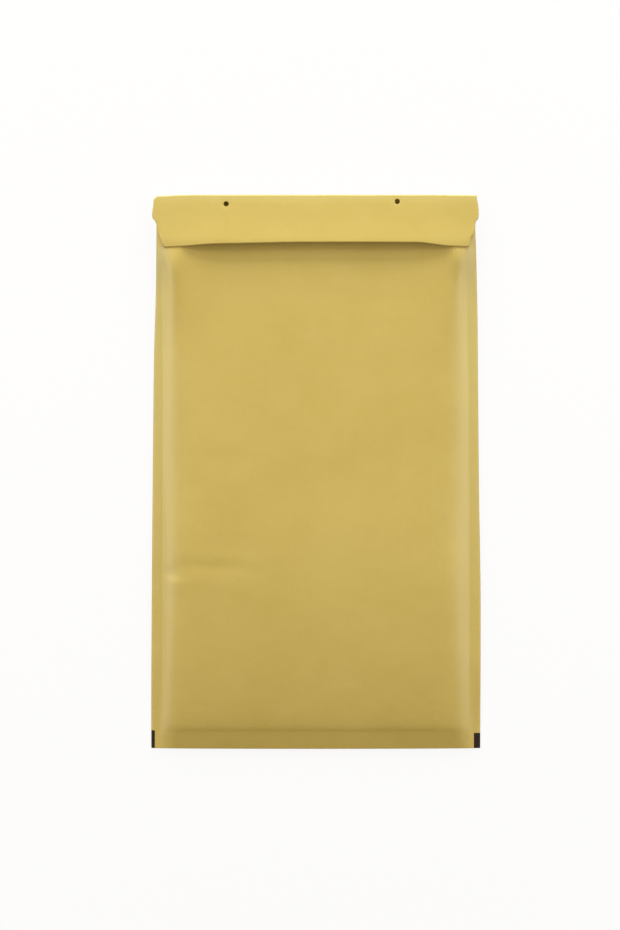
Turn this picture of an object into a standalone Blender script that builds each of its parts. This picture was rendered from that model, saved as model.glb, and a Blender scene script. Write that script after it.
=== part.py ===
"""A kraft padded envelope lying on its back, with its flap folded over the front.

One sheet of paper is folded at the foot and at the top, glued down both sides and
lined with a folded pouch of bubble film. Metres, +Z up, +Y towards the top fold.
"""
import math

import bmesh
import bpy
from mathutils import Vector

# Outline of the closed envelope
ENVELOPE_WIDTH = 0.216
ENVELOPE_LENGTH = 0.363
SIDE_TAPER = 0.0012
SIDE_WAIST = 0.0024

# Paper and seams
PAPER = 0.0002
GLUE_LINE = 0.0002
GLUE_BITE = 0.00005
GLUE_INSET = 0.0004
SIDE_SEAM = 0.0075
FOOT_BAND = 0.013
SEAM_LEVEL = 0.0028
TOP_FOLD_RADIUS = 0.0008

# Bubble lining and the room that it needs
FILM = 0.003
POCKET_GAP = 0.001
LINING_GAP = 0.0004
LINING_INSET = 0.0025
POCKET_SIDE = 0.016
POCKET_SLOT = 0.0003

# Swell of the front and back panels
MOUTH_SWELL = 0.0026
MOUTH_SWELL_LENGTH = 0.15
SIDE_SHOULDER = 0.007
FOOT_SHOULDER = 0.005
BACK_SHOULDER = 0.016
MOUTH_SETBACK = 0.0075
MOUTH_FALL = 0.022
MOUTH_LIFT = 0.0009

# Flap
FLAP_LENGTH = 0.0334
FLAP_SQUARE = 0.0155
FLAP_CUT_BACK = 0.0083
FLAP_TILT_MIDDLE = math.radians(22)
FLAP_TILT_CORNER = math.radians(4.5)
FLAP_CURL_POWER = 3
HOLE_DIAMETER = 0.0034
HOLE_LEFT = (-0.0586, 0.0054)
HOLE_RIGHT = (0.053, 0.0037)

# Closing strip under the flap
GLUE_STRIP = 0.0002
LINER = 0.0002
STRIP_LENGTH = 0.15
GLUE_WIDTH = 0.014
LINER_WIDTH = 0.017
STRIP_FROM_EDGE = 0.006

# Printed corner marks
MARK_WIDTH = 0.003
MARK_HEIGHT = 0.0088
MARK_LIFT = 0.002

# Mesh stations
SPANS_ACROSS = 16
SPANS_ALONG = 22
SPANS_MOUTH = 5
SPANS_FOLD = 6
SPANS_FLAP = 6

SHEET_OFFSET = (GLUE_LINE + PAPER) / 2
FOOT_EDGE = -ENVELOPE_LENGTH / 2
TOP_EDGE = ENVELOPE_LENGTH / 2
FOOT_CREASE = FOOT_EDGE + FOOT_BAND
FOLD_CENTRE = TOP_EDGE - TOP_FOLD_RADIUS - PAPER / 2
MOUTH_EDGE = TOP_EDGE - MOUTH_SETBACK
LINING_FOOT = FOOT_CREASE + LINING_INSET
LINING_TOP = MOUTH_EDGE - MOUTH_FALL
PAD_HEIGHT = 2 * (PAPER + LINING_GAP + FILM) + POCKET_GAP
PAD_SWELL = PAD_HEIGHT - PAPER / 2 - SEAM_LEVEL - SHEET_OFFSET
BACK_SWELL = SEAM_LEVEL - SHEET_OFFSET - PAPER / 2


def smooth(value):
    """Ease from 0 to 1 with flat ends."""
    value = min(max(value, 0.0), 1.0)
    return value * value * (3 - 2 * value)


def bulge(side, foot, reach_side, reach_foot):
    """Rise of a padded panel from its two nearest creases, 0 at a crease and 1 far from it."""
    across = max(side, 0.0) / reach_side
    along = max(foot, 0.0) / reach_foot
    if across * along == 0:
        return 0.0
    nearest = (across ** -4 + along ** -4) ** -0.25
    return 1 - math.exp(-nearest)


def mouth_fall(y):
    return smooth((y - LINING_TOP) / MOUTH_FALL)


def body_half(y):
    """Half width of the body, drawn in a little where the padding is thickest."""
    way = (y - FOOT_EDGE) / ENVELOPE_LENGTH
    return ENVELOPE_WIDTH / 2 - SIDE_TAPER * way - SIDE_WAIST * max(way, 0.0) ** 3 * (1 - mouth_fall(y))


def flap_half(reach):
    cut = min(max((reach - FLAP_SQUARE) / (FLAP_LENGTH - FLAP_SQUARE), 0.0), 1.0)
    return body_half(TOP_EDGE) - FLAP_CUT_BACK * cut


def front_height(x, y):
    """Middle of the front panel's paper."""
    side = body_half(y) - SIDE_SEAM - abs(x)
    rise = bulge(side, y - FOOT_CREASE, SIDE_SHOULDER, FOOT_SHOULDER)
    swell = PAD_SWELL + MOUTH_SWELL * smooth(1 - (LINING_TOP - y) / MOUTH_SWELL_LENGTH)
    fall = mouth_fall(y)
    return SEAM_LEVEL + SHEET_OFFSET + rise * (swell * (1 - fall) + MOUTH_LIFT * fall)


def back_height(x, y):
    """Middle of the back panel's paper, flat on the floor away from its edges."""
    side = smooth((body_half(y) - SIDE_SEAM - abs(x)) / BACK_SHOULDER)
    foot = smooth((y - FOOT_CREASE) / BACK_SHOULDER)
    top = smooth((FOLD_CENTRE - y) / BACK_SHOULDER)
    return SEAM_LEVEL - SHEET_OFFSET - BACK_SWELL * side * foot * top


def flap_tilt(x):
    share = min(abs(x) / body_half(TOP_EDGE), 1.0) ** FLAP_CURL_POWER
    return FLAP_TILT_MIDDLE * (1 - share) + FLAP_TILT_CORNER * share


def flap_point(x, reach, depth=0.0):
    """Point on the flap, reach along it from the fold and depth under its middle surface."""
    tilt = flap_tilt(x)
    y = FOLD_CENTRE + TOP_FOLD_RADIUS * math.sin(tilt) - reach * math.cos(tilt) - depth * math.sin(tilt)
    z = SEAM_LEVEL - SHEET_OFFSET + TOP_FOLD_RADIUS * (1 + math.cos(tilt))
    z += reach * math.sin(tilt) - depth * math.cos(tilt)
    return Vector((x, y, z))


def stations(start, end, spans):
    """Places from start to end, closer together at both."""
    centre = (start + end) / 2
    reach = (start - end) / 2
    return [centre + reach * math.cos(math.pi * i / spans) for i in range(spans + 1)]


def pad_across(half):
    """Places across the padded part of a sheet of this half width."""
    padded = half - SIDE_SEAM - LINING_INSET
    return stations(-padded, padded, SPANS_ACROSS)


def sheet_across(half):
    """Places across the whole sheet, those of the padded part among them."""
    crease = half - SIDE_SEAM
    mark = half - MARK_WIDTH
    return sorted([-half, -mark, -crease, *pad_across(half), crease, mark, half])


def pad_along():
    return stations(LINING_FOOT, LINING_TOP, SPANS_ALONG)


def make_collection(name):
    collection = bpy.data.collections.new(name)
    bpy.context.scene.collection.children.link(collection)
    return collection


def make_material(name, colour, roughness, alpha=1.0):
    material = bpy.data.materials.new(name)
    material.use_nodes = True
    shader = material.node_tree.nodes["Principled BSDF"]
    shader.inputs["Base Color"].default_value = (*colour, 1.0)
    shader.inputs["Roughness"].default_value = roughness
    shader.inputs["Metallic"].default_value = 0.0
    shader.inputs["Alpha"].default_value = alpha
    return material


def grid_mesh(name, columns, rows, place, place_upper=None):
    """A grid whose points go where place(column, row) says, made solid when a second side is given."""
    mesh = bpy.data.meshes.new(name)
    shape = bmesh.new()
    bmesh.ops.create_grid(shape, x_segments=columns, y_segments=rows, size=1.0)
    steps = {}
    for point in shape.verts:
        steps[point] = (round((point.co.x + 1) / 2 * columns), round((point.co.y + 1) / 2 * rows))
    if place_upper:
        raised = bmesh.ops.extrude_face_region(shape, geom=shape.faces[:])["geom"]
        upper = [item for item in raised if isinstance(item, bmesh.types.BMVert)]
        for point in upper:
            column = round((point.co.x + 1) / 2 * columns)
            row = round((point.co.y + 1) / 2 * rows)
            point.co = place_upper(column, row)
    for point, (column, row) in steps.items():
        point.co = place(column, row)
    shape.to_mesh(mesh)
    shape.free()
    return mesh


def add_object(name, mesh, collection, material=None):
    thing = bpy.data.objects.new(name, mesh)
    collection.objects.link(thing)
    if material:
        mesh.materials.append(material)
    return thing


def add_thickness(thing, thickness):
    solid = thing.modifiers.new("paper_thickness", "SOLIDIFY")
    solid.thickness = thickness
    solid.offset = 0.0
    solid.use_even_offset = True


def add_boolean(thing, cutter, operation):
    change = thing.modifiers.new(cutter.name, "BOOLEAN")
    change.object = cutter
    change.operation = operation
    change.solver = "EXACT"


def hide_tool(thing):
    thing.hide_render = True
    thing.display_type = "WIRE"


def cover_rows():
    """Rows of the one folded sheet, from the flap's free edge round the back to the mouth."""
    rows = []
    flap_reaches = {FLAP_LENGTH * i / SPANS_FLAP for i in range(SPANS_FLAP + 1)} | {FLAP_SQUARE}
    for reach in sorted(flap_reaches, reverse=True):
        rows.append(("flap", reach))
    for i in range(1, SPANS_FOLD):
        rows.append(("top_fold", i / SPANS_FOLD))
    foot_centre = FOOT_EDGE + SHEET_OFFSET + PAPER / 2
    band = sorted([foot_centre, FOOT_EDGE + MARK_LIFT, FOOT_EDGE + MARK_LIFT + MARK_HEIGHT, FOOT_CREASE])
    back = band + pad_along() + stations(LINING_TOP, FOLD_CENTRE, SPANS_MOUTH)[1:]
    rows += [("back", y) for y in back[::-1]]
    for i in range(1, SPANS_FOLD):
        rows.append(("foot_fold", i / SPANS_FOLD))
    front = band + pad_along() + stations(LINING_TOP, MOUTH_EDGE, SPANS_MOUTH)[1:]
    rows += [("front", y) for y in front]
    return rows


def cover_point(kind, place, column):
    if kind == "flap":
        x = sheet_across(flap_half(place))[column]
        return flap_point(x, place)
    if kind == "top_fold":
        x = sheet_across(body_half(TOP_EDGE))[column]
        turn = math.radians(90) - flap_tilt(x) - place * (math.pi - flap_tilt(x))
        y = FOLD_CENTRE + TOP_FOLD_RADIUS * math.cos(turn)
        z = SEAM_LEVEL - SHEET_OFFSET + TOP_FOLD_RADIUS * (1 + math.sin(turn))
        return Vector((x, y, z))
    if kind == "foot_fold":
        x = sheet_across(body_half(FOOT_EDGE))[column]
        turn = math.radians(270) - place * math.pi
        y = FOOT_EDGE + SHEET_OFFSET + PAPER / 2 + SHEET_OFFSET * math.cos(turn)
        return Vector((x, y, SEAM_LEVEL + SHEET_OFFSET * math.sin(turn)))
    x = sheet_across(body_half(place))[column]
    height = back_height(x, place) if kind == "back" else front_height(x, place)
    return Vector((x, place, height))


def make_cover(collection, tools, paper, ink):
    rows = cover_rows()
    columns = len(sheet_across(ENVELOPE_WIDTH / 2)) - 1
    mesh = grid_mesh("kraft_cover", columns, len(rows) - 1, lambda c, r: cover_point(*rows[r], c))
    cover = add_object("kraft_cover", mesh, collection, paper)
    mesh.materials.append(ink)
    for face in mesh.polygons:
        edge_side = abs(face.center.x) > body_half(face.center.y) - MARK_WIDTH
        up = face.center.y - FOOT_EDGE - MARK_LIFT
        if edge_side and 0 < up < MARK_HEIGHT:
            face.material_index = 1
    add_thickness(cover, PAPER)

    for name, sign in (("glue_left", -1), ("glue_right", 1)):
        seam = stations(FOOT_EDGE + FOOT_BAND / 4, MOUTH_EDGE - GLUE_INSET, SPANS_ALONG)

        def seam_point(column, row):
            outer = body_half(seam[row]) - GLUE_INSET
            inner = body_half(seam[row]) - SIDE_SEAM + GLUE_INSET
            return Vector((sign * (inner if column else outer), seam[row], SEAM_LEVEL))

        glue = add_object(name, grid_mesh(name, 1, SPANS_ALONG, seam_point), tools, paper)
        add_thickness(glue, GLUE_LINE + 2 * GLUE_BITE)
        hide_tool(glue)
        add_boolean(cover, glue, "UNION")

    for name, (x, reach) in (("hole_left", HOLE_LEFT), ("hole_right", HOLE_RIGHT)):
        height = 4 * TOP_FOLD_RADIUS
        bpy.ops.mesh.primitive_cylinder_add(
            vertices=16,
            radius=HOLE_DIAMETER / 2,
            depth=height,
            location=flap_point(x, reach),
            rotation=(-flap_tilt(x), 0, 0),
        )
        punch = bpy.context.object
        punch.name = name
        for owner in list(punch.users_collection):
            owner.objects.unlink(punch)
        tools.objects.link(punch)
        hide_tool(punch)
        add_boolean(cover, punch, "DIFFERENCE")
    cover.data.shade_smooth()
    cover.data.set_sharp_from_angle(angle=math.radians(35))
    return cover


def lining_side(x, y, side):
    """Outer face of the lining on its front (1) or back (-1), a clearance inside the paper."""
    height = front_height if side > 0 else back_height
    step = PAPER
    slope_x = (height(x + step, y) - height(x - step, y)) / (2 * step)
    slope_y = (height(x, y + step) - height(x, y - step)) / (2 * step)
    inset = (PAPER / 2 + LINING_GAP) * math.sqrt(1 + slope_x ** 2 + slope_y ** 2)
    return height(x, y) - side * inset


def pocket_height(x, y, side):
    """Face of the lining's pocket, one film thickness inside the lining's outer face."""
    top = lining_side(x, y, 1)
    bottom = lining_side(x, y, -1)
    room = max(top - bottom - 2 * FILM, POCKET_SLOT)
    return (top + bottom) / 2 + side * room / 2


def make_lining(collection, tools, film):
    rows = pad_along()

    def place(side):
        def lining_point(column, row):
            x = pad_across(body_half(rows[row]))[column]
            return Vector((x, rows[row], lining_side(x, rows[row], side)))

        return lining_point

    mesh = grid_mesh("bubble_lining", SPANS_ACROSS, SPANS_ALONG, place(-1), place(1))
    lining = add_object("bubble_lining", mesh, collection, film)

    pocket_rows = stations(LINING_FOOT + POCKET_SIDE, LINING_TOP + LINING_INSET, SPANS_ALONG)

    def pocket(side):
        def pocket_point(column, row):
            y = pocket_rows[row]
            x = pad_across(body_half(y) - POCKET_SIDE)[column]
            return Vector((x, y, pocket_height(x, y, side)))

        return pocket_point

    mesh = grid_mesh("pocket", SPANS_ACROSS, SPANS_ALONG, pocket(-1), pocket(1))
    cutter = add_object("pocket", mesh, tools)
    hide_tool(cutter)
    add_boolean(lining, cutter, "DIFFERENCE")
    lining.data.shade_smooth()
    lining.data.set_sharp_from_angle(angle=math.radians(35))
    return lining


def make_strip(name, collection, material, thickness, strip_width, depth):
    """A flat strip that follows the flap's underside."""
    middle = FLAP_LENGTH - STRIP_FROM_EDGE - LINER_WIDTH / 2
    across_spans = SPANS_ACROSS
    along_spans = 3

    def strip_point(column, row):
        x = STRIP_LENGTH * (column / across_spans - 0.5)
        reach = middle + strip_width * (0.5 - row / along_spans)
        return flap_point(x, reach, depth)

    strip = add_object(name, grid_mesh(name, across_spans, along_spans, strip_point), collection, material)
    add_thickness(strip, thickness)
    strip.data.shade_smooth()
    strip.data.set_sharp_from_angle(angle=math.radians(35))
    return strip


def main():
    for thing in list(bpy.data.objects):
        bpy.data.objects.remove(thing, do_unlink=True)
    parts = make_collection("padded_envelope")
    tools = make_collection("cutters")

    kraft = make_material("kraft_paper", (0.62, 0.46, 0.13), 0.75)
    ink = make_material("mark_ink", (0.03, 0.015, 0.01), 0.6)
    film = make_material("bubble_film", (0.85, 0.87, 0.88), 0.3)
    glue = make_material("flap_glue", (0.8, 0.76, 0.6), 0.35)
    release = make_material("release_paper", (0.86, 0.86, 0.84), 0.4)

    make_cover(parts, tools, kraft, ink)
    make_lining(parts, tools, film)
    glue_depth = PAPER / 2 + LINING_GAP + GLUE_STRIP / 2
    liner_depth = glue_depth + GLUE_STRIP / 2 + LINING_GAP + LINER / 2
    make_strip("flap_adhesive", parts, glue, GLUE_STRIP, GLUE_WIDTH, glue_depth)
    make_strip("release_liner", parts, release, LINER, LINER_WIDTH, liner_depth)


main()
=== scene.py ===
import math

import bmesh
import bpy
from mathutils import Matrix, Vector, noise


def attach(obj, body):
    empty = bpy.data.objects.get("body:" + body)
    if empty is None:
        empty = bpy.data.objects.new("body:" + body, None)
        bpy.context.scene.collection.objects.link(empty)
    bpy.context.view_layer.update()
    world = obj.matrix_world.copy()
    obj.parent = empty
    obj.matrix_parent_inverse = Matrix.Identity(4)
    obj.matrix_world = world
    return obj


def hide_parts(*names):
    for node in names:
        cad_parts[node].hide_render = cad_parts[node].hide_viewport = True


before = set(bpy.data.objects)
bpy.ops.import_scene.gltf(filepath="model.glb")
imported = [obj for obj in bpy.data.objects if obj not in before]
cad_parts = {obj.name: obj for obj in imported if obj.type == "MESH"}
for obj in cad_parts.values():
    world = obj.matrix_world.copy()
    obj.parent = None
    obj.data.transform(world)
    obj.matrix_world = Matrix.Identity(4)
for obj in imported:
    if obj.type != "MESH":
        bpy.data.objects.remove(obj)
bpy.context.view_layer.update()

# Sizes of the folded sheet, in metres, as the solids have them
WIDTH = 0.216
LENGTH = 0.363
FOOT = -LENGTH / 2
TOP = LENGTH / 2
PAPER = 0.0002
GLUE_LINE = 0.0002
SHEET_OFFSET = (PAPER + GLUE_LINE) / 2
FOOT_BAND = 0.012
SEAM_LEVEL = 0.0028
FOLD_RADIUS = 0.0008
FOLD_CENTRE = TOP - FOLD_RADIUS - PAPER / 2 - 0.0007
FOOT_CREASE = FOOT + FOOT_BAND
FOOT_CENTRE = FOOT + 0.00045 + SHEET_OFFSET + PAPER / 2
MOUTH = TOP - 0.0075
MOUTH_FALL = 0.022
LINING_TOP = MOUTH - MOUTH_FALL
LINING_INSET = 0.0025
LINING_FOOT = FOOT_CREASE + LINING_INSET
FILM_FOOT = LINING_FOOT + 0.0006
FILM = 0.003
LINING_GAP = 0.0004
PAD_SWELL = 2 * (PAPER + LINING_GAP + FILM) + 0.001 - PAPER / 2 - SEAM_LEVEL - SHEET_OFFSET
MOUTH_SWELL = 0.0034
MOUTH_LIFT = 0.0046
BACK_SHOULDER = 0.016
MM = 0.001

# Flap seen from above: reach from the fold against half width, left and right, in millimetres
FLAP_LEFT = [(0, 104.4), (1.4, 105.9), (5, 106.2), (11, 107.0), (13, 106.9), (14.7, 106.4), (16, 105.1),
             (18.6, 104.1), (24.7, 102.8), (32.6, 99.7), (34, 97.6)]
FLAP_RIGHT = [(0, 104.9), (2.4, 105.3), (8, 106.15), (13, 106.15), (15.3, 105.6), (16.2, 104.5),
              (18.8, 104.0), (21.5, 103.9), (24.7, 102.8), (27, 101.3), (32.6, 99.9), (34, 98.8)]
# Place across the flap against the y of its cut edge, in millimetres
FLAP_EDGE = [(-107, 146.3), (-88, 146.9), (-69, 148.3), (-50, 148.75), (-10, 149.5), (60, 149.45),
             (69, 149.2), (86, 147.2), (107, 146.5)]
# Place up the body in millimetres against the distance of its left and right edges from the middle
LEFT_EDGE = [(-181.5, 107.9), (-149, 107.9), (-51, 107.3), (47, 106.4), (80, 105.95), (112, 104.95),
             (145, 104.3), (180.4, 104.0)]
RIGHT_EDGE = [(-181.5, 107.6), (-84, 107.8), (-51, 107.4), (-18, 106.8), (47, 106.2), (112, 105.6),
              (145, 104.6), (160, 104.0), (180.4, 104.9)]
# Punched holes in the flap: place across, reach from the fold
HOLES = [(-0.0586, 0.0054), (0.0530, 0.0038)]
HOLE_RADIUS = 0.0017

# Columns of the sheet: a fine strip down each side, and fine columns round each hole
SIDE_SPAN = 0.032
LEFT_AT_HOLES = 0.1062
RIGHT_AT_HOLES = 0.1058
HOLE_COLUMNS = 8
HOLE_COLUMN_STEP = 0.0004

# Strips on the flap's underside
FLAP_REACH = 0.0334
STRIP_MARGIN = 0.006
STRIP_LENGTH = 0.150
STRIP_THICKNESS = 0.0002
GLUE_WIDTH = 0.014
LINER_WIDTH = 0.017
TAB_LIFT = 0.0005

# Bubble film
FILM_SHEET = 0.0001
BUBBLE_PITCH = 0.0112
BUBBLE_RADIUS = 0.0050
BUBBLE_HEIGHT = 0.0026
ROW_SHARE = 0.866

# Dark corner marks: how far out from the middle and how far down the foot each one starts
LEFT_MARK = (0.1055, -0.1693)
RIGHT_MARK = (0.1034, -0.1710)

# Light
WORLD_STRENGTH = 0.20
WORLD_TINT = (1.0, 0.62, 0.14)
HIGH_POWER = 26.0
LOW_POWER = 92.0
SIDE_POWER = 4.5


def smooth(value):
    """Ease from 0 to 1 as the value goes from 0 to 1."""
    value = min(max(value, 0.0), 1.0)
    return value * value * (3 - 2 * value)


def hump(value, width):
    """A soft bump of height 1 at 0."""
    return math.exp(-(value / width) ** 2)


def follow(stations, place):
    """Smooth curve through a list of (place, value) stations."""
    if place <= stations[0][0]:
        return stations[0][1]
    for i in range(len(stations) - 1):
        (x0, y0), (x1, y1) = stations[i], stations[i + 1]
        if place <= x1:
            before = stations[max(i - 1, 0)]
            after = stations[min(i + 2, len(stations) - 1)]
            slope_in = (y1 - before[1]) / (x1 - before[0])
            slope_out = (after[1] - y0) / (after[0] - x0)
            span = x1 - x0
            t = (place - x0) / span
            return ((2 * t ** 3 - 3 * t ** 2 + 1) * y0 + (t ** 3 - 2 * t ** 2 + t) * span * slope_in
                    + (3 * t ** 2 - 2 * t ** 3) * y1 + (t ** 3 - t ** 2) * span * slope_out)
    return stations[-1][1]


def ripple(x, y, size, seed):
    """Gentle unevenness between -1 and 1, with features of about this size in metres."""
    return noise.noise(Vector((x / size, y / size, seed)))


def soft_least(first, second, blend):
    """The lower of two heights, rounded where they meet."""
    share = max(blend - abs(first - second), 0.0) / blend
    return min(first, second) - share * share * blend / 4


def mouth_fall(y):
    """0 below the lining's top, 1 at the mouth, where front and back close."""
    return smooth((y - LINING_TOP) / MOUTH_FALL)


def body_edge(y, side):
    """Distance of the body's left (-1) or right (1) edge from the middle."""
    corner = 0.0012 * max(0.0, 1 - (y - FOOT) / 0.0012) ** 2
    return follow(LEFT_EDGE if side < 0 else RIGHT_EDGE, y / MM) * MM - corner


def crease_edge(y, side):
    """Distance from the middle of the line where the padding ends and the glued seam starts."""
    return 0.1001 if side < 0 else 0.1002 - 0.0016 * smooth((y - 0.04) / 0.08)


def seam_lift(x, y):
    """Height of the seam over its usual level: up at foot crease and mouth, down at the sheet's edges."""
    outside = abs(x) - crease_edge(y, -1 if x < 0 else 1)
    from_crease = y - FOOT_CREASE
    crisp = 0.0012 * hump(from_crease, 0.060) if from_crease > 0 else 0.0012 + 0.195 * from_crease
    gentle = -0.0019 * smooth((0.050 - from_crease) / 0.065)
    share = smooth((0.004 - outside) / 0.014)
    droop = max(outside, 0.0) * (0.13 + 0.22 * hump(y - 0.147, 0.018)) * (1 - smooth((y - 0.145) / 0.030))
    ears = 0.0030 * hump(y - 0.147, 0.017) * smooth((abs(x) - 0.080) / 0.016)
    mouth = MOUTH_LIFT * smooth((y - 0.115) / 0.057) * (1 - 0.4 * smooth((abs(x) - 0.070) / 0.034))
    lift = crisp * share + gentle * (1 - share) + mouth + ears - droop
    return -soft_least(-lift, SEAM_LEVEL - SHEET_OFFSET - PAPER / 2, 0.0008)


def swell_in(x, y):
    """Share of the padding's full height: 0 on the seams, 1 well inside."""
    side = -1 if x < 0 else 1
    across = max(crease_edge(y, side) - abs(x), 0.0)
    along = max(y - FOOT_CREASE, 0.0)
    uneven = 1 + 0.2 * ripple(side, y, 0.045, 2.0)
    if side < 0:
        shoulder = 1 - math.exp(-across / ((0.0080 - 0.0022 * smooth((0.02 - y) / 0.12)) * uneven))
    else:
        shoulder = 1 - math.exp(-(across / ((0.0105 - 0.0025 * smooth((0.02 - y) / 0.12)) * uneven)) ** 1.15)
    end = 1 - 0.91 * math.exp(-along / 0.030) - 0.09 * math.exp(-along / 0.0018)
    return shoulder * end


def front_dents(x, y):
    """Soft dents and ripples in the padded front, in metres."""
    step = math.tanh((y + 0.0695 + 0.10 * (x + 0.098)) / 0.0016) * hump(y + 0.0700, 0.012)
    kink = -0.34 * step * hump(x + 0.0950, 0.0075)
    kink += -0.45 * hump(y + 0.0660, 0.0045) * hump(x + 0.0965, 0.0060)
    ridge = y + 0.0610 + 0.05 * (x + 0.092)
    run = smooth((x + 0.098) / 0.012) * (1 - smooth((x + 0.075) / 0.055))
    drag = -0.22 * hump(ridge, 0.0045) * run + 0.12 * hump(ridge + 0.011, 0.006) * run
    drag += -0.10 * hump(y + 0.047, 0.006) * hump(x + 0.062, 0.025)
    patch = -0.16 * hump(y - 0.007, 0.0060) * hump(x + 0.062, 0.014)
    patch += 0.16 * hump(y + 0.016, 0.0045) * hump(x + 0.073, 0.008)
    loose = 0.10 * ripple(x, y * 1.3, 0.050, 11.0) + 0.035 * ripple(x, y, 0.018, 23.0)
    return MM * (kink + drag + patch + loose)


def front_height(x, y):
    """Height of the middle of the front's paper, kept clear of the flap."""
    rise = swell_in(x, y)
    outward = min(max((abs(x) - 0.058) / 0.036, 0.0), 1.0)
    near_mouth = smooth(1 - (LINING_TOP - y) / 0.135)
    full = PAD_SWELL + MOUTH_SWELL * near_mouth * (outward ** 2 - 0.20 * (1 - outward))
    full += 0.0018 * hump(y + 0.065, 0.090)
    fall = mouth_fall(y)
    lift = seam_lift(x, y)
    level = rise * ((full - max(lift, 0.0)) * (1 - fall) + 0.0009 * fall)
    height = SEAM_LEVEL + lift + SHEET_OFFSET + level + front_dents(x, y) * rise * (1 - fall)
    corner = hump(abs(x) - 0.0940, 0.0070) * smooth((y - 0.080) / 0.066) * (1 - smooth((y - 0.152) / 0.020))
    height += 0.0018 * corner
    if y < 0.13:
        return height
    tilt = flap_tilt(x)
    reach = (FOLD_CENTRE + FOLD_RADIUS * math.sin(tilt) - y) / math.cos(tilt)
    flap = fold_level(x) + FOLD_RADIUS * (1 + math.cos(tilt)) + reach * math.sin(tilt) - flap_sink(x, reach)
    over_strips = 1 - smooth((abs(x) - 0.0765) / 0.010)
    at_edge = smooth((0.1520 - y) / 0.0035) * smooth((abs(x) - 0.052) / 0.016)
    clear = 0.00036 + over_strips * (0.00184 - 0.0009 * at_edge)
    return soft_least(height, flap - clear, 0.0012)


def back_height(x, y):
    """Height of the middle of the back's paper: flat on the floor inside its margins."""
    side = smooth((crease_edge(y, -1 if x < 0 else 1) - abs(x)) / BACK_SHOULDER)
    foot = smooth((y - FOOT_CREASE) / BACK_SHOULDER)
    top = smooth((FOLD_CENTRE - y) / 0.026)
    flat = side * foot * top
    level = SEAM_LEVEL + seam_lift(x, y) - SHEET_OFFSET
    uneven = 0.00012 * (ripple(x, y, 0.03, 31.0) + 1) * flat * (1 - flat) * 4
    return level + (PAPER / 2 - level) * flat + uneven


def fold_level(x):
    """Height of the back's paper where it turns into the top fold."""
    return SEAM_LEVEL + seam_lift(x, FOLD_CENTRE) - SHEET_OFFSET


def fold_drop(x, inward):
    """The fold line's left end sits a little lower; the sheet next to it follows."""
    return 0.0006 * smooth((-0.088 - x) / 0.016) * (1 - smooth(inward / 0.012))


def flap_tilt(x):
    """The flap rises a little off the front towards its cut edge, less at its ends."""
    outward = max(abs(x) - 0.050, 0.0) / 0.057
    return math.radians(6.2 - 2.4 * outward ** 2)


def flap_length(x):
    """Length of the flap along itself, from the fold to its cut edge."""
    tilt = flap_tilt(x)
    return (FOLD_CENTRE + FOLD_RADIUS * math.sin(tilt) - follow(FLAP_EDGE, x / MM) * MM) / math.cos(tilt)


def flap_sink(x, reach):
    """How far the flap hangs under a flat plane: a slight sag, then a bend down at its cut edge."""
    sag = 0.0002 * hump(reach - 0.017, 0.010) * (1 + ripple(x, 0, 0.05, 41.0))
    return sag + 0.0004 * smooth((reach - 0.026) / 0.009) ** 2


def flap_point(x, reach, depth=0.0):
    """Point on the flap, reach along it from the fold and depth under its middle."""
    tilt = flap_tilt(x)
    dimple = sum(0.00014 * hump(math.hypot(x - across, reach - along), 0.003) for across, along in HOLES)
    drop = depth + flap_sink(x, reach) + dimple - 0.00008 * ripple(x, reach, 0.022, 43.0)
    y = FOLD_CENTRE + FOLD_RADIUS * math.sin(tilt) - reach * math.cos(tilt) - drop * math.sin(tilt)
    y -= fold_drop(x, reach)
    z = fold_level(x) + FOLD_RADIUS * (1 + math.cos(tilt))
    z += reach * math.sin(tilt) - drop * math.cos(tilt)
    return Vector((x, y, z))


def stepped(start, end, step):
    """Evenly spaced places from start up to but not including end."""
    count = max(1, round(abs(end - start) / step))
    return [start + (end - start) * i / count for i in range(count)]


def sheet_across():
    """Stations across the sheet as (side, inset from that side's edge or share of the middle)."""
    insets = stepped(0.0, 0.0045, 0.0011) + stepped(0.0045, 0.0135, 0.0006)
    insets += stepped(0.0135, SIDE_SPAN, 0.0012)
    start, end = SIDE_SPAN - LEFT_AT_HOLES, RIGHT_AT_HOLES - SIDE_SPAN
    places = stepped(start, end, 0.0026)
    for hole_x, _ in HOLES:
        clear = (HOLE_COLUMNS + 1) * HOLE_COLUMN_STEP
        places = [place for place in places if abs(place - hole_x) > clear]
        places += [hole_x + HOLE_COLUMN_STEP * i for i in range(-HOLE_COLUMNS, HOLE_COLUMNS + 1)]
    left = [("left", inset) for inset in insets]
    middle = [("middle", (place - start) / (end - start)) for place in sorted(places)]
    right = [("right", inset) for inset in reversed(insets)]
    return left + middle + [("right", SIDE_SPAN)] + right


def station_x(station, left, right):
    """Place across of a station in a row with these half widths."""
    kind, value = station
    if kind == "left":
        return -left + value
    if kind == "right":
        return right - value
    start, end = SIDE_SPAN - left, right - SIDE_SPAN
    return start + (end - start) * value


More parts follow.
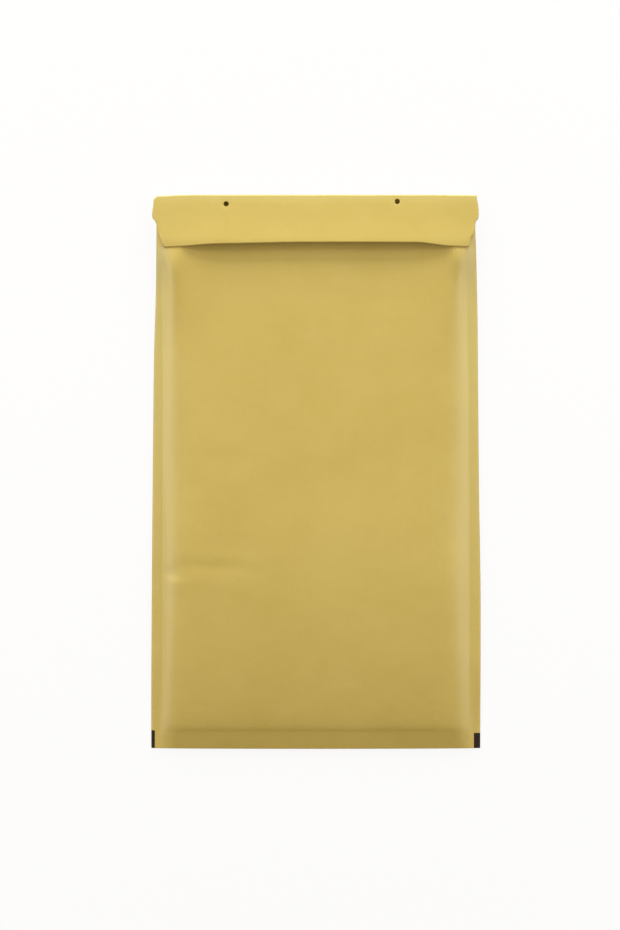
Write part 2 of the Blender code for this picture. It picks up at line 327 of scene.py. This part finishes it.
def sheet_rows():
    """Rows of the one sheet: flap, top fold, back, foot fold, front, up to the mouth."""
    rows = [("flap", 1 - share) for share in stepped(0.0, 0.72, 0.024) + stepped(0.72, 0.97, 0.012)]
    rows += [("flap", share) for share in (0.03, 0.018, 0.008, 0.0)]
    rows += [("top_fold", i / 9) for i in range(1, 9)]
    rows += [("back", y) for y in stepped(FOLD_CENTRE, TOP - 0.025, 0.0016)]
    rows += [("back", y) for y in stepped(TOP - 0.025, FOOT + 0.032, 0.0075)]
    rows += [("back", y) for y in stepped(FOOT + 0.032, FOOT_CREASE, 0.0018)]
    rows += [("back", y) for y in stepped(FOOT_CREASE, FOOT_CENTRE, 0.0025)] + [("back", FOOT_CENTRE)]
    rows += [("foot_fold", i / 7) for i in range(1, 7)]
    rows += [("front", y) for y in stepped(FOOT_CENTRE, FOOT + 0.0016, 0.0004)]
    rows += [("front", y) for y in stepped(FOOT + 0.0016, FOOT_CREASE, 0.0016)]
    rows += [("front", y) for y in stepped(FOOT_CREASE, FOOT + 0.026, 0.0007)]
    rows += [("front", y) for y in stepped(FOOT + 0.026, -0.090, 0.0024)]
    rows += [("front", y) for y in stepped(-0.090, -0.045, 0.0012)]
    rows += [("front", y) for y in stepped(-0.045, LINING_TOP - 0.008, 0.0030)]
    rows += [("front", y) for y in stepped(LINING_TOP - 0.008, MOUTH, 0.0015)] + [("front", MOUTH)]
    return rows


def sheet_point(row, station):
    """Point of the middle of the one sheet."""
    kind, place = row
    if kind == "flap":
        reach = place * FLAP_REACH
        left, right = follow(FLAP_LEFT, reach / MM) * MM, follow(FLAP_RIGHT, reach / MM) * MM
        x = station_x(station, left, right)
        return flap_point(x, place * flap_length(x))
    if kind == "top_fold":
        x = station_x(station, FLAP_LEFT[0][1] * MM, FLAP_RIGHT[0][1] * MM)
        turn = math.radians(90) - flap_tilt(x) - place * (math.pi - flap_tilt(x))
        y = FOLD_CENTRE + FOLD_RADIUS * math.cos(turn) - fold_drop(x, 0.0)
        return Vector((x, y, fold_level(x) + FOLD_RADIUS * (1 + math.sin(turn))))
    y = FOOT_CENTRE if kind == "foot_fold" else place
    x = station_x(station, body_edge(y, -1), body_edge(y, 1))
    bow = 0.0004 * (1 - (x / (WIDTH / 2)) ** 2) * smooth((FOOT_CREASE - y) / FOOT_BAND)
    if kind == "foot_fold":
        turn = math.radians(270) - place * math.pi
        y = FOOT_CENTRE + SHEET_OFFSET * math.cos(turn) - bow
        return Vector((x, y, SEAM_LEVEL + seam_lift(x, FOOT_CENTRE) + SHEET_OFFSET * math.sin(turn)))
    if kind == "back":
        return Vector((x, y - bow - fold_drop(x, FOLD_CENTRE - y), back_height(x, y)))
    return Vector((x, y - bow, front_height(x, y)))


def sheet_mesh(across, rows, point):
    """An open sheet of len(rows) by len(across) points, and those points row by row."""
    sheet = bmesh.new()
    grid = [[sheet.verts.new(point(row, station)) for station in across] for row in rows]
    for low, high in zip(grid, grid[1:]):
        for i in range(len(across) - 1):
            sheet.faces.new((low[i], low[i + 1], high[i + 1], high[i])).smooth = True
    return sheet, grid


def finish_mesh(sheet, name, material):
    """Turn the sheet into an object of this name and material."""
    mesh = bpy.data.meshes.new(name)
    sheet.normal_update()
    sheet.to_mesh(mesh)
    sheet.free()
    mesh.materials.append(material)
    thing = bpy.data.objects.new(name, mesh)
    bpy.context.scene.collection.objects.link(thing)
    return thing


def thicken(thing, thickness):
    """Give an open sheet its thickness, half to each side."""
    solid = thing.modifiers.new("paper_thickness", "SOLIDIFY")
    solid.thickness = thickness
    solid.offset = 0.0
    solid.use_even_offset = True
    bake_modifiers(thing)


def bake_modifiers(thing):
    """Turn the object's evaluated shape into its plain mesh."""
    graph = bpy.context.evaluated_depsgraph_get()
    mesh = bpy.data.meshes.new_from_object(thing.evaluated_get(graph))
    thing.modifiers.clear()
    mesh.name = thing.name
    thing.data = mesh


def punch_hole(sheet, rows, grid, hole_x, hole_reach):
    """Open a round hole in the flap and draw the sheet's points round it onto its rim."""
    away = {}
    for (kind, place), line in zip(rows, grid):
        if kind == "flap":
            for point in filter(lambda point: point.is_valid, line):
                away[point] = (point.co.x - hole_x, place * flap_length(point.co.x) - hole_reach)
    inside = []
    for face in sheet.faces:
        if all(point in away for point in face.verts):
            over = sum(away[point][0] for point in face.verts) / 4
            down = sum(away[point][1] for point in face.verts) / 4
            if math.hypot(over, down) < HOLE_RADIUS:
                inside.append(face)
    bmesh.ops.delete(sheet, geom=inside, context="FACES")
    for point, (over, down) in away.items():
        distance = math.hypot(over, down)
        if point.is_valid and point.is_boundary and distance < HOLE_RADIUS * 1.5:
            scale = HOLE_RADIUS / distance
            point.co = flap_point(hole_x + over * scale, hole_reach + down * scale)


# Node trees as plain expressions
class Wire:
    """One output of a node tree. Sums, products and comparisons on it add Math nodes."""

    def __init__(self, tree, socket):
        self.tree = tree
        self.socket = socket

    def math(self, operation, *values, clamp=False):
        settings = {"operation": operation, "use_clamp": clamp}
        return self.tree.add("ShaderNodeMath", settings, dict(enumerate(values)))

    def __add__(self, other):
        return self.math("ADD", self, other)

    def __radd__(self, other):
        return self.math("ADD", other, self)

    def __sub__(self, other):
        return self.math("SUBTRACT", self, other)

    def __rsub__(self, other):
        return self.math("SUBTRACT", other, self)

    def __mul__(self, other):
        return self.math("MULTIPLY", self, other)

    def __rmul__(self, other):
        return self.math("MULTIPLY", other, self)

    def __truediv__(self, other):
        return self.math("DIVIDE", self, other)

    def __mod__(self, other):
        return self.math("MODULO", self, other)

    def __lt__(self, other):
        return self.math("LESS_THAN", self, other)

    def size(self):
        return self.math("ABSOLUTE", self)

    def floor(self):
        return self.math("FLOOR", self)

    def most(self, other):
        return self.math("MAXIMUM", self, other)

    def clamp(self):
        return self.math("ADD", self, 0.0, clamp=True)


class Tree:
    """A node tree that is filled one node at a time."""

    def __init__(self, tree):
        self.tree = tree

    def add(self, kind, settings=None, values=None, out=0):
        node = self.tree.nodes.new(kind)
        for name, setting in (settings or {}).items():
            setattr(node, name, setting)
        for name, value in (values or {}).items():
            self.feed(node.inputs[name], value)
        return Wire(self, node.outputs[out])

    def feed(self, socket, value):
        if isinstance(value, Wire):
            self.tree.links.new(value.socket, socket)
        else:
            socket.default_value = value

    def blend(self, share, first, second):
        """Colour between first and second."""
        return self.add("ShaderNodeMix", {"data_type": "RGBA"}, {0: share, 6: first, 7: second}, out=2)

    def grain(self, place, scale, detail=2.0, roughness=0.5):
        values = {"Vector": place, "Scale": scale, "Detail": detail, "Roughness": roughness}
        return self.add("ShaderNodeTexNoise", None, values)

    def stretched(self, place, turn, scale):
        """The place turned about Z and scaled, for streaks and fibres."""
        values = {"Vector": place, "Rotation": (0.0, 0.0, turn), "Scale": scale}
        return self.add("ShaderNodeMapping", {"vector_type": "TEXTURE"}, values)

    def split(self, vector):
        parts = self.add("ShaderNodeSeparateXYZ", None, {0: vector})
        node = parts.socket.node
        return [Wire(self, node.outputs[i]) for i in range(3)]

    def bump(self, height, depth, strength, normal=None):
        values = {"Height": height, "Distance": depth, "Strength": strength}
        if normal:
            values["Normal"] = normal
        return self.add("ShaderNodeBump", None, values)


class Finish(Tree):
    """A material whose Principled shader is fed by expressions."""

    def __init__(self, name, constants=None):
        self.material = bpy.data.materials.new(name)
        self.material.use_nodes = True
        super().__init__(self.material.node_tree)
        self.shader = self.tree.nodes["Principled BSDF"]
        for socket, value in (constants or {}).items():
            self.shader.inputs[socket].default_value = value
        self.place = self.add("ShaderNodeTexCoord", out="Object")

    def paint(self, **inputs):
        for name, value in inputs.items():
            self.feed(self.shader.inputs[name.replace("_", " ")], value)


def colour(red, green, blue):
    """Opaque colour from linear red, green and blue."""
    return (red, green, blue, 1.0)


def fibres(finish, turns, length, width):
    """Fine streaks laid in several directions, 0 to 1."""
    total = None
    for turn in turns:
        laid = finish.stretched(finish.place, turn, (length, width, width))
        strand = finish.grain(laid, 1.0, detail=3.0, roughness=0.6)
        total = strand if total is None else total.most(strand)
    return total


def kraft_tone(finish, mottle, strands, ribs):
    """Mottled gold between two tones, with a few darker flecks."""
    cloud = finish.grain(finish.place, 11.0)
    flecks = fibres(finish, (0.6, 2.2), 0.0016, 0.00028)
    tone = (mottle - 0.5) * 0.5 + (cloud - 0.5) * 0.6 + (ribs - 0.5) * 0.14 + (strands - 0.62) + 0.5
    deep, pale = colour(0.568, 0.446, 0.117), colour(0.669, 0.542, 0.172)
    paper = finish.blend(tone.clamp(), deep, pale)
    dark_fleck = ((flecks - 0.735) * 14.0).clamp() * 0.28
    return finish.blend(dark_fleck, paper, colour(0.33, 0.21, 0.055))


def painted_sheen_and_worn_folds(finish, x, y, mottle, paper):
    """Painted sheen: paler paper along the side margins, fading out towards the foot, and along the top
    fold; and worn fibres on both folds.
    """
    # Painted sheen: the margins are paler, most towards the top and none at the foot; the top fold is paler
    # too
    margins = ((x.size() - 0.091) * 140.0).clamp() * ((y + 0.13) * 5.0).clamp()
    margins = margins * ((0.147 - y) * 400.0).clamp()
    top_fold = ((y - (TOP - 0.007)) * 220.0).clamp()
    paper = finish.blend((margins * 0.5).most(top_fold * 0.4), paper, colour(0.655, 0.575, 0.215))
    folds = ((y.size() - (TOP - 0.0006)) * 1400.0).clamp()
    worn = folds * ((mottle - 0.42) * 5.0).clamp() * 0.35
    return finish.blend(worn, paper, colour(0.80, 0.66, 0.30))


def corner_ink(finish, x, y):
    """Dark marks at the foot's two corners, 0 to 1, with slightly ragged edges."""
    ragged = (finish.grain(finish.place, 900.0) - 0.5) * 0.0005

    def mark(outward, start):
        across = ((outward - start[0] + ragged) * 9000.0).clamp()
        return across * ((start[1] - y + ragged) * 7000.0).clamp()

    return mark(-1.0 * x, LEFT_MARK).most(mark(x, RIGHT_MARK))


def kraft_finish():
    """Golden kraft paper: fibres, flecks, soft mottling, painted sheen on the side margins and top fold,
    worn folds, two dark corner marks.
    """
    finish = Finish("kraft_paper", {"Specular IOR Level": 0.75})
    x, y, _ = finish.split(finish.place)
    mottle = finish.grain(finish.place, 55.0, detail=4.0, roughness=0.55)
    ribs = finish.grain(finish.stretched(finish.place, 0.0, (0.0011, 0.03, 0.0011)), 1.0)
    strands = fibres(finish, (0.25, 1.1, 1.9, 2.7), 0.0032, 0.00035)
    paper = kraft_tone(finish, mottle, strands, ribs)
    # Painted sheen on the side margins and top fold, then worn fibres on the folds
    paper = painted_sheen_and_worn_folds(finish, x, y, mottle, paper)
    ink = corner_ink(finish, x, y)
    paper = finish.blend(ink, paper, colour(0.016, 0.006, 0.004))

    rough = 0.40 + (mottle - 0.5) * 0.12 + (strands - 0.6) * 0.2 + ink * 0.3
    crumple = finish.grain(finish.place, 130.0, detail=3.0)
    skin = finish.bump(crumple, 0.00035, 0.35)
    skin = finish.bump(strands * 0.6 + ribs * 0.4, 0.00004, 0.6, skin)
    finish.paint(Base_Color=paper, Roughness=rough.clamp(), Normal=skin)
    return finish.material


def film_finish():
    """Clear soft bubble film, slightly blue, with a faint milky haze."""
    finish = Finish("bubble_film", {"Specular IOR Level": 0.5})
    haze = finish.grain(finish.place, 160.0, detail=3.0)
    milk = finish.blend((haze * 0.8).clamp(), colour(0.78, 0.83, 0.87), colour(0.93, 0.95, 0.96))
    cover = 0.34 + (haze - 0.5) * 0.3
    rough = 0.16 + (haze - 0.5) * 0.14
    skin = finish.bump(finish.grain(finish.place, 420.0, detail=2.0), 0.00006, 0.5)
    finish.paint(Base_Color=milk, Roughness=rough.clamp(), Alpha=cover.clamp(), Normal=skin)
    return finish.material


def adhesive_finish():
    """Amber glue with fine streaks along the strip."""
    finish = Finish("flap_glue", {"Specular IOR Level": 0.6})
    streaks = finish.grain(finish.stretched(finish.place, 0.0, (0.02, 0.0016, 0.0016)), 1.0, detail=3.0)
    bubbles = finish.grain(finish.place, 700.0, detail=1.0)
    amber = finish.blend(streaks.clamp(), colour(0.62, 0.50, 0.24), colour(0.80, 0.71, 0.45))
    rough = 0.20 + (bubbles - 0.5) * 0.2
    skin = finish.bump(streaks + bubbles * 0.4, 0.00008, 0.6)
    finish.paint(Base_Color=amber, Roughness=rough.clamp(), Normal=skin)
    return finish.material


def release_finish():
    """White coated paper with faint fibres."""
    finish = Finish("release_paper", {"Specular IOR Level": 0.5, "Coat Roughness": 0.2})
    cloud = finish.grain(finish.place, 70.0, detail=3.0)
    strands = fibres(finish, (0.4, 1.5, 2.5), 0.0024, 0.0003)
    white = finish.blend(((cloud - 0.5) + (strands - 0.6) + 0.5).clamp(), colour(0.76, 0.76, 0.74),
                         colour(0.88, 0.88, 0.86))
    rough = 0.34 + (cloud - 0.5) * 0.2
    skin = finish.bump(strands, 0.00003, 0.5)
    gloss = (0.25 + cloud * 0.2).clamp()
    finish.paint(Base_Color=white, Roughness=rough.clamp(), Coat_Weight=gloss, Normal=skin)
    return finish.material


def make_cover(material):
    """The one kraft sheet with its thickness and its two holes."""
    across, rows = sheet_across(), sheet_rows()
    sheet, grid = sheet_mesh(across, rows, sheet_point)
    for hole_x, hole_reach in HOLES:
        punch_hole(sheet, rows, grid, hole_x, hole_reach)
    cover = finish_mesh(sheet, "kraft_sheet", material)
    thicken(cover, PAPER)
    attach(cover, "root")
    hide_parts("kraft_cover")


def make_seam_glue(material):
    """Thin glue lines that close the two side seams between front and back."""
    for name, side in (("left_seam_glue", -1), ("right_seam_glue", 1)):
        rows = stepped(FOOT + 0.003, MOUTH - 0.0006, 0.004) + [MOUTH - 0.0006]

        def seam_point(y, share):
            outer, inner = body_edge(y, side) - 0.00035, crease_edge(y, side) + 0.0004
            x = side * (outer + (inner - outer) * share)
            return Vector((x, y, SEAM_LEVEL + seam_lift(x, y)))

        shares = [0.0, 0.3, 0.7, 1.0] if side < 0 else [1.0, 0.7, 0.3, 0.0]
        glue = finish_mesh(sheet_mesh(shares, rows, seam_point)[0], name, material)
        thicken(glue, GLUE_LINE)
        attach(glue, "root")


def lining_face(x, y, side):
    """Outer envelope of the bubbles on the front (1) or back (-1)."""
    height = front_height if side > 0 else back_height
    step = 0.0005
    slope_x = (height(x + step, y) - height(x - step, y)) / (2 * step)
    slope_y = (height(x, y + step) - height(x, y - step)) / (2 * step)
    inset = (PAPER / 2 + LINING_GAP) * math.sqrt(1 + slope_x ** 2 + slope_y ** 2)
    return height(x, y) - side * inset


def film_level(x, y, side):
    """Middle of the flat film that the bubbles stand on."""
    top, bottom = lining_face(x, y, 1), lining_face(x, y, -1)
    room = max(top - bottom - 2 * FILM, 0.0003)
    return (top + bottom) / 2 + side * room / 2


def film_rows():
    """Rows of the film: down the front, round the foot, up the back."""
    rows = [(1, y) for y in stepped(LINING_TOP, FILM_FOOT, 0.006)]
    rows += [(0, turn) for turn in (0.0, 0.25, 0.5, 0.75, 1.0)]
    rows += [(-1, y) for y in stepped(FILM_FOOT, LINING_TOP, 0.006)] + [(-1, LINING_TOP)]
    return rows


def film_point(row, share):
    """Point of the film, share from -1 at its left edge to 1 at its right."""
    side, place = row
    y = FILM_FOOT if side == 0 else place
    rounded = 0.004 * smooth((-0.156 - y) / 0.010)
    x = share * (crease_edge(y, -1 if share < 0 else 1) - LINING_INSET - rounded)
    if side == 0:
        upper, lower = film_level(x, y, 1), film_level(x, y, -1)
        middle, radius = (upper + lower) / 2, (upper - lower) / 2
        turn = place * math.pi
        return Vector((x, y - radius * math.sin(turn), middle + radius * math.cos(turn)))
    return Vector((x, y, film_level(x, y, side)))


def bubble_inputs(group):
    """The tree's inputs with their usual values, and the identifier of each."""
    sockets = {}
    for label, kind, value in (
        ("Film", "NodeSocketGeometry", None),
        ("Pitch", "NodeSocketFloat", BUBBLE_PITCH),
        ("Bubble radius", "NodeSocketFloat", BUBBLE_RADIUS),
        ("Bubble height", "NodeSocketFloat", BUBBLE_HEIGHT),
        ("Width", "NodeSocketFloat", 0.190),
        ("Length", "NodeSocketFloat", 0.306),
        ("Middle", "NodeSocketVector", (0.0, 0.0, 0.0)),
        ("Side", "NodeSocketFloat", 1.0),
        ("Seed", "NodeSocketInt", 3),
    ):
        socket = group.interface.new_socket(name=label, in_out="INPUT", socket_type=kind)
        if value is not None:
            socket.default_value = value
        sockets[label] = socket.identifier
    return sockets


def bubble_places(tree, given, down):
    """Points in offset rows, dropped onto the film. Those that miss it are left out."""
    columns = (given["Width"] / given["Pitch"]).floor()
    row_pitch = given["Pitch"] * ROW_SHARE
    lines = (given["Length"] / row_pitch).floor()
    grid = tree.add("GeometryNodeMeshGrid", None, {
        "Size X": (columns - 1.0) * given["Pitch"], "Size Y": (lines - 1.0) * row_pitch,
        "Vertices X": columns, "Vertices Y": lines})
    line_number = tree.add("GeometryNodeInputIndex") % lines
    shift = (line_number % 2.0 - 0.5) * given["Pitch"] * 0.5
    jitter = tree.add("FunctionNodeRandomValue", {"data_type": "FLOAT"},
                      {2: -0.00025, 3: 0.00025, "Seed": given["Seed"]}, out=1)
    offset = tree.add("ShaderNodeCombineXYZ", None, {0: shift + jitter, 1: jitter, 2: given["Side"] * 0.05})
    moved = tree.add("ShaderNodeVectorMath", {"operation": "ADD"}, {0: offset, 1: given["Middle"]})
    spread = tree.add("GeometryNodeSetPosition", None, {"Geometry": grid, "Offset": moved})
    hit_node = tree.add("GeometryNodeRaycast", None, {
        "Target Geometry": given["Film"], "Ray Direction": down, "Ray Length": 0.2}).socket.node
    hit = {label: Wire(tree, hit_node.outputs[label]) for label in ("Is Hit", "Hit Position")}
    missed = tree.add("FunctionNodeBooleanMath", {"operation": "NOT"}, {0: hit["Is Hit"]})
    stored = tree.add("GeometryNodeStoreNamedAttribute", {"data_type": "BOOLEAN", "domain": "POINT"},
                      {"Geometry": spread, "Name": "missed", "Value": missed})
    landed = tree.add("GeometryNodeSetPosition", None, {"Geometry": stored, "Position": hit["Hit Position"]})
    was_missed = tree.add("GeometryNodeInputNamedAttribute", {"data_type": "BOOLEAN"}, {"Name": "missed"})
    return tree.add("GeometryNodeDeleteGeometry", {"domain": "POINT"},
                    {"Geometry": landed, "Selection": was_missed})


def bubble_dome(tree):
    """A ball cut off a little under its middle."""
    ball = tree.add("GeometryNodeMeshUVSphere", None, {"Segments": 12, "Rings": 8, "Radius": 1.0})
    height = tree.split(tree.add("GeometryNodeInputPosition"))[2]
    return tree.add("GeometryNodeDeleteGeometry", {"domain": "POINT"},
                    {"Geometry": ball, "Selection": height < -0.1})


def bubble_tree(name, material):
    """Rows of domes, offset like brickwork, set on the film that the modifier sits on."""
    group = bpy.data.node_groups.new(name, "GeometryNodeTree")
    tree = Tree(group)
    sockets = bubble_inputs(group)
    group.interface.new_socket(name="Bubbles", in_out="OUTPUT", socket_type="NodeSocketGeometry")
    entry = group.nodes.new("NodeGroupInput")
    given = {label: Wire(tree, entry.outputs[label]) for label in sockets}
    down = tree.add("ShaderNodeCombineXYZ", None, {2: given["Side"] * -1.0})
    up = tree.add("ShaderNodeVectorMath", {"operation": "SCALE"}, {0: down, "Scale": -1.0})
    turned = tree.add("FunctionNodeAlignRotationToVector", {"axis": "Z"}, {"Vector": up})
    size = tree.add("ShaderNodeCombineXYZ", None, {
        0: given["Bubble radius"], 1: given["Bubble radius"], 2: given["Bubble height"]})
    domes = tree.add("GeometryNodeInstanceOnPoints", None, {
        "Points": bubble_places(tree, given, down), "Instance": bubble_dome(tree),
        "Rotation": turned, "Scale": size})
    solid = tree.add("GeometryNodeRealizeInstances", None, {"Geometry": domes})
    soft = tree.add("GeometryNodeSetShadeSmooth", None, {"Geometry": solid})
    final = tree.add("GeometryNodeSetMaterial", None, {"Geometry": soft, "Material": material})
    leave = group.nodes.new("NodeGroupOutput")
    group.links.new(final.socket, leave.inputs[0])
    return group, sockets


def make_lining(material):
    """The film pouch and the bubbles on its front and back."""
    shares = [-1 + 2 * i / 40 for i in range(41)]
    film = finish_mesh(sheet_mesh(shares, film_rows(), film_point)[0], "film_pouch", material)
    group, sockets = bubble_tree("bubble_rows", material)
    for name, side in (("front_bubbles", 1.0), ("back_bubbles", -1.0)):
        bubbles = bpy.data.objects.new(name, film.data.copy())
        bpy.context.scene.collection.objects.link(bubbles)
        rows = bubbles.modifiers.new("bubble_rows", "NODES")
        rows.node_group = group
        rows[sockets["Side"]] = side
        rows[sockets["Middle"]] = (0.0, (LINING_TOP + LINING_FOOT) / 2, 0.0)
        rows[sockets["Bubble height"]] = BUBBLE_HEIGHT
        bake_modifiers(bubbles)
        fit_bubbles(bubbles, side)
        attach(bubbles, "root")
    thicken(film, FILM_SHEET)
    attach(film, "root")
    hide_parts("bubble_lining")


def fit_bubbles(bubbles, side):
    """Press each dome to the room between the film and the paper, lowest near the seams."""
    for point in bubbles.data.vertices:
        x, y = point.co.x, point.co.y
        base = film_level(x, y, side)
        room = abs(lining_face(x, y, side) - base)
        share = max(abs(point.co.z - base), 0.0) / BUBBLE_HEIGHT
        point.co.z = base + side * min(share, 1.0) * max(room, 0.0002)


def make_strip(name, node, material, width, depth, lift):
    """A strip under the flap, whose right end hangs down by lift as a pull tab."""
    middle = FLAP_REACH - STRIP_MARGIN - LINER_WIDTH / 2
    across = [STRIP_LENGTH * (i / 90 - 0.5) for i in range(91)]
    rows = [middle + width * (0.5 - i / 8) for i in range(9)]

    def strip_point(reach, x):
        slack = lift * smooth((x - 0.060) / 0.018) + 0.00006 * ripple(x, reach, 0.012, 61.0)
        return flap_point(x, reach, depth + slack)

    strip = finish_mesh(sheet_mesh(across, rows, strip_point)[0], name, material)
    thicken(strip, STRIP_THICKNESS)
    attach(strip, "root")
    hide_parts(node)


def make_floor():
    """Pale floor that looks white to the camera and still takes the envelope's soft shadow."""
    material = bpy.data.materials.new("pale_floor")
    material.use_nodes = True
    tree = Tree(material.node_tree)
    material.node_tree.nodes.remove(material.node_tree.nodes["Principled BSDF"])
    output = material.node_tree.nodes["Material Output"]
    path = tree.add("ShaderNodeLightPath").socket.node
    seen = Wire(tree, path.outputs["Is Camera Ray"])
    for ray in ("Is Glossy Ray", "Is Transmission Ray"):
        seen = seen.most(Wire(tree, path.outputs[ray]))
    matt = tree.add("ShaderNodeBsdfDiffuse", None, {"Color": colour(0.90, 0.90, 0.90)})
    white = tree.add("ShaderNodeEmission", None, {"Color": colour(1.0, 1.0, 1.0), "Strength": 1.0})
    place = tree.add("ShaderNodeTexCoord", None, None, out=3)
    away = tree.add("ShaderNodeVectorMath", {"operation": "LENGTH"}, {0: place}, out=1)
    glow = 0.90 + ((away - 0.30) * 1.6).clamp() * 0.10
    mixed = tree.add("ShaderNodeMixShader", None, {0: seen * glow, 1: matt, 2: white})
    material.node_tree.links.new(mixed.socket, output.inputs["Surface"])
    bpy.ops.mesh.primitive_plane_add(size=8.0, location=(0, 0, -0.0002))
    floor = bpy.context.object
    floor.name = "floor"
    floor.data.materials.append(material)


def make_world(strength, tint):
    """Weak warm fill light behind a background that the camera sees as white."""
    world = bpy.data.worlds.new("studio")
    world.use_nodes = True
    bpy.context.scene.world = world
    tree = Tree(world.node_tree)
    path = tree.add("ShaderNodeLightPath").socket.node
    seen = Wire(tree, path.outputs["Is Camera Ray"])
    back = world.node_tree.nodes["Background"]
    tree.feed(back.inputs["Color"], tree.blend(seen, colour(*tint), colour(1.0, 1.0, 1.0)))
    tree.feed(back.inputs["Strength"], strength + seen * (1.0 - strength))


def soft_lamp(name, place, aim, width, depth, power):
    """Rectangular area lamp turned to its aim."""
    light = bpy.data.lights.new(name, "AREA")
    light.shape = "RECTANGLE"
    light.size = width
    light.size_y = depth
    light.energy = power
    lamp = bpy.data.objects.new(name, light)
    bpy.context.scene.collection.objects.link(lamp)
    lamp.location = place
    lamp.rotation_euler = (Vector(aim) - Vector(place)).to_track_quat("-Z", "Y").to_euler()
    return lamp


def make_camera():
    """Straight above the envelope, its long side up the picture."""
    pixel = 0.6545 * MM
    picture_height = 930
    distance = 1.8
    data = bpy.data.cameras.new("camera")
    data.sensor_width = 36.0
    data.lens = data.sensor_width * distance / (picture_height * pixel)
    camera = bpy.data.objects.new("camera", data)
    bpy.context.scene.collection.objects.link(camera)
    camera.location = (-6.0 * pixel, 6.8 * pixel, SEAM_LEVEL + distance)
    camera.rotation_euler = (0.0, 0.0, 0.0)
    bpy.context.scene.camera = camera


def main():
    """Build the envelope, the floor, the light and the camera."""
    kraft = kraft_finish()
    make_cover(kraft)
    make_seam_glue(kraft)
    make_lining(film_finish())
    glue_depth = PAPER / 2 + LINING_GAP + STRIP_THICKNESS / 2
    liner_depth = glue_depth + STRIP_THICKNESS + LINING_GAP
    make_strip("glue_strip", "flap_adhesive", adhesive_finish(), GLUE_WIDTH, glue_depth, 0.0)
    make_strip("peel_strip", "release_liner", release_finish(), LINER_WIDTH, liner_depth,
               TAB_LIFT)
    make_floor()
    make_world(WORLD_STRENGTH, WORLD_TINT)
    high = soft_lamp("high_softbox", (0.0, 1.90, 1.45), (0.0, 0.05, 0.0), 3.0, 1.0, HIGH_POWER)
    low = soft_lamp("low_softbox", (0.0, 2.30, 0.55), (0.0, 0.05, 0.0), 4.0, 0.66, LOW_POWER)
    high.visible_glossy = low.visible_glossy = False
    soft_lamp("left_softbox", (-0.95, 0.05, 0.62), (0.0, 0.0, 0.0), 1.1, 0.8, SIDE_POWER)
    soft_lamp("right_softbox", (0.95, 0.05, 0.62), (0.0, 0.0, 0.0), 1.1, 0.8, SIDE_POWER)
    make_camera()
    bpy.context.scene.view_settings.view_transform = "Standard"


main()
